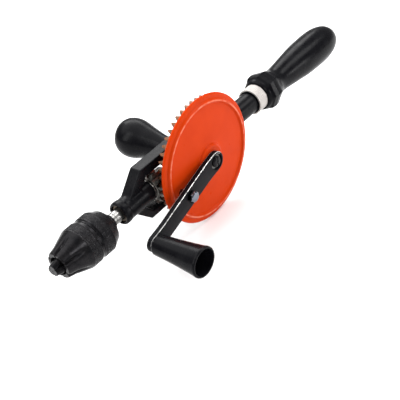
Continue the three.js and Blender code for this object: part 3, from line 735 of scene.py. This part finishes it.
def side_handle():
    start, end = span("side_handle", "y")
    knob = flowing([(8.0, start + 2.4), (7.6, start + 5), (7.7, start + 9), (8.3, start + 14),
                    (9.5, start + 19.5), (12.0, start + 28.6), (14.5, start + 36.8), (15.5, start + 42),
                    (15.5, start + 46), (14.6, start + 50.2), (12.3, start + 53.8), (8.6, start + 55.6),
                    (3.8, end - 0.15), (0, end)])
    outline = filleted([(0, start), (8.2, start, 0.3), (8.6, start + 0.7, 0.5), (8.5, start + 1.5, 0.3),
                        (8.0, start + 2.4)])
    bm = bmesh.new()
    revolve(bm, refined(outline[:-1] + knob, 0.9), "y", segments=144)
    handle = finished("side_handle_moulded", bm, LOOKS["black_plastic"], "frame")
    low, high = span("side_stud", "y")
    combine(handle, turned_tool(rod(3.4, start - 1, high + 0.3), "y", segments=48), "DIFFERENCE")
    smooth_again(handle)
    replace(handle, "black_plastic", "side_handle")
    stud = turned("side_stud_turned", rod(3.1, low, high, 0.4), LOOKS["cross_steel"], "frame", "y",
                  segments=48)
    replace(stud, "bright_steel", "side_stud")


# ---------------------------------------------------------------- spindle and chuck

PINION_PIN_PLACE = -33
KNURLS = 60
KNURL_PITCH = 1.5
KNURL_DEPTH = 0.32


def triangle_wave(turns):
    return abs(2 * (turns % 1.0) - 1)


def knurl(angle, height, low, high):
    """How far below its full radius a diamond-knurled band is, at a place on it."""
    round_ = KNURLS * angle / (2 * math.pi)
    along = height / KNURL_PITCH
    peak = min(triangle_wave(round_ + along), triangle_wave(round_ - along))
    share = fade(height, low, low + 0.4) * (1 - fade(height, high - 0.4, high))
    return KNURL_DEPTH * share * (1 - 1.6 * min(peak, 0.6))


def level(height, line):
    """The radius of a line of (radius, height) points at a height, by straight interpolation."""
    for (r0, h0), (r1, h1) in zip(line, line[1:]):
        if height <= h1:
            return r0 + (r1 - r0) * max(0.0, height - h0) / (h1 - h0)
    return line[-1][0]


SLEEVE_BAND = (-116.6, -109.4)
BODY_BAND = (-104.4, -97.6)
BAND_RADIUS = 15.3
FLUTES = 6
FLUTE_DEPTH = 1.75
GROOVE_WIDTH = 0.17  # as a share of half the pitch from groove to groove


def chuck_sleeve():
    nose, rear = span("chuck_sleeve")
    outline = filleted([(6.7, nose, 0.2), (9.1, nose, 0.3), (9.8, nose + 0.8, 0.4), (11.1, -128, 2),
                        (12.7, -123.8, 2), (14.1, -119.8, 2), (15.2, -116.9, 0.6), (BAND_RADIUS, -115.5),
                        (BAND_RADIUS, -109.2, 0.3), (14.6, -108.6, 0.3), (14.5, rear, 0.2),
                        (13.4, rear, 0.2), (13.4, -116, 0.4), (8.7, -128.3, 0.4), (6.7, -131.5, 0.3)],
                       closed=True)
    points = refined(outline + outline[:1], 0.3)[:-1]
    middle = [(7.8, nose), (9.9, -128), (12.9, -120), (14.3, -116), (14.0, rear)]

    def outside(angle, radius, height):
        if radius < level(height, middle):
            return radius
        if height > SLEEVE_BAND[0] - 0.6:
            return radius - knurl(angle, height, *SLEEVE_BAND)
        across = abs((FLUTES * angle / (2 * math.pi)) % 1.0 - 0.5) * 2
        depth = FLUTE_DEPTH * (1 - fade(height, -129, SLEEVE_BAND[0] - 0.8))
        groove = math.exp(-(((1 - across) / GROOVE_WIDTH) ** 2))
        return radius - depth * (0.22 * across * across + 0.78 * groove)

    bm = bmesh.new()
    revolve(bm, points, "x", segments=360, shape=outside, closed=True)
    sleeve = finished("chuck_sleeve_knurled", bm, LOOKS["black_oxide"], "sleeve", math.radians(38))
    replace(sleeve, "black_oxide", "chuck_sleeve")


def chuck_body():
    rear = span("chuck_body")[1]
    outline = filleted([(0, -128.2), (8.3, -128.2, 0.3), (13.0, -115.7, 0.5), (13.0, -106.3, 0.2),
                        (14.5, -106.3, 0.2), (14.6, -105.3, 0.3), (BAND_RADIUS, -104.6, 0.3),
                        (BAND_RADIUS, -97.4, 0.3), (14.9, -96.6, 0.4), (12.3, -91.2, 0.7),
                        (11.5, -90.4, 0.5), (6.5, -90.0, 0.4), (5.9, -89.3, 0.3), (5.9, rear, 0.4),
                        (0, rear)])
    points = refined(outline, 0.3)

    def banded(angle, radius, height):
        on_band = radius > BAND_RADIUS - 0.3
        return radius - (knurl(angle, height, *BODY_BAND) if on_band else 0)

    bm = bmesh.new()
    revolve(bm, points, "x", segments=360, shape=banded)
    body = finished("chuck_body_knurled", bm, LOOKS["black_oxide"], "spindle", math.radians(38))
    tools = [(rod(BIT_BORE, -130, -108, 0.3), False),
             (rod(SPINDLE_RADIUS + 0.3, span("spindle")[0] - 0.3, rear + 1), False),
             (ring(11.2, 20, -116.5, -112.9), True)]
    for outline, closed in tools:
        combine(body, turned_tool(outline, closed=closed, segments=64), "DIFFERENCE")
    for number in range(3):
        way = along_jaw(turned_bm(rod(3.1, -4, JAW_LENGTH + 12.3, 0.3), "x", 40), number)
        combine(body, tool_from(way), "DIFFERENCE")
    smooth_again(body, math.radians(38))
    replace(body, "black_oxide", "chuck_body")


def turned_bm(outline, axis="x", segments=64):
    bm = bmesh.new()
    revolve(bm, filleted(outline), axis, segments=segments)
    return bm


JAW_TIP = span("jaw_1")[0]
JAW_ANGLE = math.radians(15)
JAW_OFFSET = 1.32
JAW_LENGTH = 21.24
JAW_GAP = 0.197  # from the spindle's axis to each jaw's flanks
JAW_CONE = [(3.9, 0.0), (4.7, 0.9), (12.0, 16.0)]  # (radius, distance behind the tip)
BIT_BORE = 3.5


def along_jaw(bm, number):
    """Places what is built along +X from the apex on the slanting line that jaw `number` slides along."""
    lean = Matrix.Rotation(-JAW_ANGLE, 4, "Y")
    shift = Matrix.Translation(Vector((JAW_TIP, 0, JAW_OFFSET)) * MM)
    around = Matrix.Rotation(number * 2 * math.pi / 3, 4, "X")
    home = Matrix.Translation(APEX)
    bmesh.ops.transform(bm, matrix=home @ around @ shift @ lean @ home.inverted(), verts=bm.verts)
    return bm


def sliced(bm, place, normal):
    """Cuts a convex body by a plane through `place`, in millimetres, and keeps the normal's side."""
    result = bmesh.ops.bisect_plane(bm, geom=[*bm.verts, *bm.edges, *bm.faces],
                                    plane_co=APEX + Vector(place) * MM, plane_no=Vector(normal),
                                    clear_inner=True)
    rim = [e for e in result["geom_cut"] if isinstance(e, bmesh.types.BMEdge)]
    if rim:
        bmesh.ops.contextual_create(bm, geom=rim)


def jaw(number):
    """A slanting ground rod, cut to a third of a circle about the spindle's axis, with a cone at its tip."""
    bm = along_jaw(turned_bm(rod(2.8, -4, JAW_LENGTH, 0.3), "x", 96), number)
    around = Matrix.Rotation(number * 2 * math.pi / 3, 3, "X")
    sliced(bm, (JAW_TIP, 0, 0), (1, 0, 0))
    for side in (-1, 1):
        sliced(bm, around @ Vector((JAW_TIP, 0, JAW_GAP)), around @ Vector((0, side * 0.5, math.sqrt(0.75))))
    for (r0, x0), (r1, x1) in zip(JAW_CONE, JAW_CONE[1:]):
        for degrees in range(-63, 64, 7):
            angle = math.radians(degrees)
            spoke = around @ Vector((0, math.sin(angle), math.cos(angle)))
            sliced(bm, Vector((JAW_TIP + x0, 0, 0)) + spoke * r0, Vector((r1 - r0, 0, 0)) - spoke * (x1 - x0))
    piece = finished(f"jaw_{number + 1}_ground", bm, LOOKS["black_oxide"], f"jaw_{number + 1}",
                     math.radians(25))
    soften(piece, 0.15, angle=30)
    replace(piece, "black_oxide", f"jaw_{number + 1}")


def spindle():
    low, high = span("spindle")
    outline = [(0, low), (SPINDLE_RADIUS - 0.6, low, 0.2), (SPINDLE_RADIUS, low + 0.7, 0.3),
               (SPINDLE_RADIUS, -84.4), (SPINDLE_RADIUS - 0.25, -84.2), (SPINDLE_RADIUS - 0.25, -83.2),
               (SPINDLE_RADIUS, -83.0), (SPINDLE_RADIUS, high, 0.5), (0, high)]
    bar = turned("spindle_turned", outline, LOOKS["bright_steel"], "spindle", segments=96)
    replace(bar, "bright_steel", "spindle")
    drive = pinion("drive_pinion_cut", "drive_pinion", "spindle", -1, 4.9, 29.5)
    pin_origin = APEX + Vector((PINION_PIN_PLACE, 0, 0)) * MM
    combine(drive, turned_tool(rod(1.5, -15, 15, 0), "y", origin=pin_origin, segments=32), "DIFFERENCE")
    smooth_again(drive, math.radians(28))
    reach = span("pinion_pin", "y")[1]
    pin = turned("pinion_pin_turned", rod(1.2, -reach, reach, 0.3), LOOKS["cross_steel"], "spindle", "y",
                 origin=pin_origin, segments=32)
    replace(pin, "bright_steel", "pinion_pin")
    small_ring("thrust_washer", SPINDLE_RADIUS + 0.3, "spindle")


# ---------------------------------------------------------------- gear wheel


def gear_wheel():
    radius, hub = from_apex("gear_wheel", 1, 2), span("gear_wheel", "out")[1]
    outline = [(4.8, 9, 0.2), (9.6, 9, 0.4), (10.8, 10.4, 0.6), (11.4, 14.2, 1), (radius - 0.8, 14.2, 0.3),
               (radius, 14.9, 0.4), (radius, 15.6, 0.5), (radius - 1.1, 16.4, 0.9), (44.2, 16.6, 0.8),
               (43.2, 18.5, 1.0), (41.9, 18.5, 1.0), (40.8, 16.9, 0.9), (14.2, 18.5, 0.8),
               (12.3, 18.9, 0.8), (11.8, hub - 0.5, 0.3), (11.1, hub, 0.3), (4.8, hub, 0.2)]
    disc = turned("gear_wheel_disc", outline, LOOKS["orange_enamel"], "wheel", "out", closed=True,
                  segments=256)
    bolt_hole = turned_tool(rod(2.5, BOLT_HOLE_END, 20, 0), "out", origin=at_crank(BOLT_REACH), segments=48)
    combine(disc, bolt_hole, "DIFFERENCE")
    smooth_again(disc)
    replace(disc, "orange_enamel", "gear_wheel")
    backing = [(34.6, 12.0), (34.6, 14.6), (46.0, 14.6)]
    ring_bm = toothed_ring(WHEEL_TEETH, GEAR_CONE, GEAR_ADDENDUM, PINION_ADDENDUM + TIP_CLEARANCE, backing,
                           Vector((1, 0, 0)), Vector((0, -1, 0)))
    teeth = finished("gear_wheel_teeth", ring_bm, LOOKS["tooth_bronze"], "wheel", math.radians(28))
    replace(teeth, "orange_enamel", "gear_wheel")


# ---------------------------------------------------------------- crank

ARM_HUB_BACK, ARM_FRONT = span("crank_arm", "out")
ARM_THICKNESS = 4.0
ARM_TIP_BACK = ARM_FRONT - ARM_THICKNESS
ARM_HUB, ARM_END = 7.4, 6.2
LEAN_FROM, LEAN_TO = 10.0, 68.0
BOLT_REACH = 34.0
BOLT_SEAT = 26.3
BOLT_HOLE_END = 15.3
BOLT_HALF_FLATS = 3.78


def along_crank(reach, across=0.0):
    """The (x, z) of a place on the crank, in millimetres from the apex."""
    c, s = math.cos(CRANK_ANGLE), math.sin(CRANK_ANGLE)
    return (reach * c - across * s, reach * s + across * c)


def at_crank(reach):
    x, z = along_crank(reach)
    return APEX + Vector((x, 0, z)) * MM


def arm_back(reach):
    """How far out along the axle the arm's back is, at a distance along the crank."""
    share = min(1.0, max(0.0, (reach - LEAN_FROM) / (LEAN_TO - LEAN_FROM)))
    return ARM_HUB_BACK + (ARM_TIP_BACK - ARM_HUB_BACK) * share


def crank_arm():
    """A flat bar that leans outward from its hub to the grip, with broken edges."""
    taper = math.asin((ARM_HUB - ARM_END) / CRANK_REACH)
    outline = []
    for centre, radius, start, sweep in ((0, ARM_HUB, math.pi / 2 - taper, math.pi + 2 * taper),
                                         (CRANK_REACH, ARM_END, -math.pi / 2 + taper, math.pi - 2 * taper)):
        for k in range(29):
            angle = start + sweep * k / 28
            outline.append(Vector((centre + radius * math.cos(angle), radius * math.sin(angle))))
    outline = refined(outline + outline[:1], 4.0)[:-1]
    bm = prism([along_crank(p.x, p.y) for p in outline], 0, ARM_THICKNESS, edge=0.45)
    direction = Vector((math.cos(CRANK_ANGLE), 0, math.sin(CRANK_ANGLE)))
    for vert in bm.verts:
        vert.co.y -= arm_back((vert.co - APEX).dot(direction) / MM) * MM
    bmesh.ops.triangulate(bm, faces=[face for face in bm.faces if len(face.verts) > 4])
    arm = finished("crank_arm_bar", bm, LOOKS["crank_enamel"], "wheel")
    floor, top = ARM_HUB_BACK + 1.3, ARM_HUB_BACK + ARM_THICKNESS
    pocket = [(0, ARM_HUB_BACK - 1), (4.8, ARM_HUB_BACK - 1), (4.8, floor), (5.8, floor, 0.3),
              (5.8, top - 0.4), (6.7, top + 0.5), (0, top + 0.5)]
    combine(arm, turned_tool(pocket, "out", segments=72), "DIFFERENCE")
    holes = ((BOLT_REACH, 2.5, 15), (CRANK_REACH, 2.9, 15), (BOLT_REACH, 4.9, BOLT_SEAT))
    for reach, radius, low in holes:
        hole = turned_tool(rod(radius, low, ARM_FRONT + 1, 0), "out", origin=at_crank(reach), segments=48)
        combine(arm, hole, "DIFFERENCE")
    smooth_again(arm)
    replace(arm, "black_enamel", "crank_arm")


def crank_bolt():
    low, high = span("crank_bolt", "out")
    head = BOLT_SEAT + 0.3
    outline = filleted([(0, low), (2.2, low, 0.2), (2.2, head), (4.2, head, 0.2), (4.35, head + 0.3, 0.2),
                        (4.35, head + 2.2, 0.3), (4.0, head + 2.9, 0.4), (3.2, head + 3.6, 0.8),
                        (1.8, head + 4.1, 0.8), (0, high)])

    def domed_hexagon(angle, radius, height):
        step = math.pi / 3
        flat = BOLT_HALF_FLATS / math.cos((angle - CRANK_ANGLE) % step - step / 2)
        return min(radius, flat) if height >= head else radius

    bm = bmesh.new()
    revolve(bm, refined(outline, 0.25), "out", at_crank(BOLT_REACH), 120, domed_hexagon)
    replace(finished("crank_bolt_domed", bm, LOOKS["chrome"], "wheel"), "chrome", "crank_bolt")


def crank_grip():
    pivot = at_crank(CRANK_REACH)
    start, end = span("crank_grip", "out")
    web = start + 6.5
    outer = flowing([(7.35, start + 1.2), (7.6, start + 6), (8.3, start + 16), (9.3, start + 26.5),
                     (10.2, start + 34.4), (10.75, end - 1.6)])
    inner = flowing([(9.0, end - 1.6), (8.4, start + 31), (7.6, start + 20), (6.9, start + 13),
                     (6.1, web + 2)])
    outline = [(2.9, start, 0.2), (6.7, start, 0.5), *outer, (10.7, end - 0.7, 0.4), (10.3, end, 0.4),
               (9.4, end, 0.3), *inner, (6.0, web, 0.8), (2.9, web, 0.2)]
    grip = turned("crank_grip_moulded", outline, LOOKS["black_plastic"], "grip", "out", closed=True,
                  origin=pivot, segments=128)
    replace(grip, "black_plastic", "crank_grip")
    low, high = span("grip_pin", "out")
    outline = [(0, low), (3.0, low, 0.5), (4.15, low + 0.9, 0.4), (4.2, ARM_TIP_BACK - 0.3, 0.2),
               (2.6, ARM_TIP_BACK - 0.3), (2.6, high - 2.4), (4.3, high - 2.4, 0.2), (4.3, high - 1.2, 0.5),
               (3.0, high - 0.2, 0.8), (0, high)]
    pin = turned("grip_pin_turned", outline, LOOKS["cross_steel"], "wheel", "out", origin=pivot, segments=64)
    replace(pin, "bright_steel", "grip_pin")
    small_ring("grip_washer", 2.9, "wheel", "cross_steel", axis="out", origin=pivot)


frame_casting()
idler_and_axle()
main_handle()
handle_ferrule()
side_handle()
chuck_sleeve()
chuck_body()
for number in range(3):
    jaw(number)
spindle()
gear_wheel()
crank_arm()
crank_bolt()
crank_grip()
for node in ("thrust_ball", "chuck_nut_1", "chuck_nut_2"):
    inner_piece = frame["nodes"][node]
    inner_piece.data.materials.clear()
    inner_piece.data.materials.append(LOOKS["bright_steel"])
    soften(inner_piece, 0.15)

# ---------------------------------------------------------------- studio


def studio_floor():
    bm = bmesh.new()
    bmesh.ops.create_grid(bm, x_segments=1, y_segments=1, size=4)
    mesh = bpy.data.meshes.new("floor")
    bm.to_mesh(mesh)
    bm.free()
    paper = Look("floor_paper", (0.93, 0.93, 0.93), 0.9)
    paper.color(paper.mix(paper.ramp(paper.noise(60, 3), 0.3, 0.7), (0.92, 0.92, 0.92), (0.94, 0.94, 0.94)))
    mesh.materials.append(paper.material)
    floor = bpy.data.objects.new("floor", mesh)
    bpy.context.scene.collection.objects.link(floor)


def area_light(name, place, size, power):
    """A rectangular light, with its power in watts, that faces the apex."""
    light = bpy.data.lights.new(name, "AREA")
    light.shape = "RECTANGLE"
    light.size, light.size_y = size
    light.energy = power
    made = bpy.data.objects.new(name, light)
    made.location = place
    made.rotation_euler = (APEX - Vector(place)).to_track_quat("-Z", "Y").to_euler()
    bpy.context.scene.collection.objects.link(made)


studio_floor()
world = bpy.data.worlds.new("studio")
world.use_nodes = True
world.node_tree.nodes["Background"].inputs["Color"].default_value = (1, 1, 1, 1)
world.node_tree.nodes["Background"].inputs["Strength"].default_value = 0.42
bpy.context.scene.world = world
bpy.context.scene.view_settings.view_transform = "Standard"

area_light("key", (-0.06, 0.5, 1.05), (1.4, 1.2), 16)
area_light("left_strip", (-0.75, 0.35, 0.6), (0.2, 0.8), 4.5)
area_light("back_strip", (0.6, 0.65, 0.7), (0.9, 0.45), 8.5)
area_light("front_box", (-0.38, -0.6, 0.6), (0.18, 0.18), 2)
area_light("top_strip", (0.51, -0.27, 0.78), (0.26, 0.7), 5)
area_light("side_box", (0.55, -0.8, 0.21), (0.15, 0.2), 3)

# ---------------------------------------------------------------- camera

AZIMUTH, ELEVATION, ROLL = math.radians(-45.617), math.radians(36.354), math.radians(-11.694)
AIM = Vector((-14.2, -14.6, -27.7))  # what the camera looks at, in millimetres from the apex
DISTANCE = 528
back = Vector((math.sin(AZIMUTH) * math.cos(ELEVATION), -math.cos(AZIMUTH) * math.cos(ELEVATION),
               math.sin(ELEVATION)))
level_right = Vector((math.cos(AZIMUTH), math.sin(AZIMUTH), 0))
level_up = back.cross(level_right)
right = level_right * math.cos(ROLL) + level_up * math.sin(ROLL)
up = back.cross(right)
camera_data = bpy.data.cameras.new("camera")
camera_data.lens = 65.45
camera_data.sensor_width = 36
camera_data.clip_start, camera_data.clip_end = 0.01, 20
camera = bpy.data.objects.new("camera", camera_data)
turn = Matrix((right, up, back)).transposed().to_4x4()
camera.matrix_world = Matrix.Translation(APEX + (AIM + back * DISTANCE) * MM) @ turn
bpy.context.scene.collection.objects.link(camera)
bpy.context.scene.camera = camera

# ---------------------------------------------------------------- box corners


def corners(box):
    return [list(corner) for corner in box]
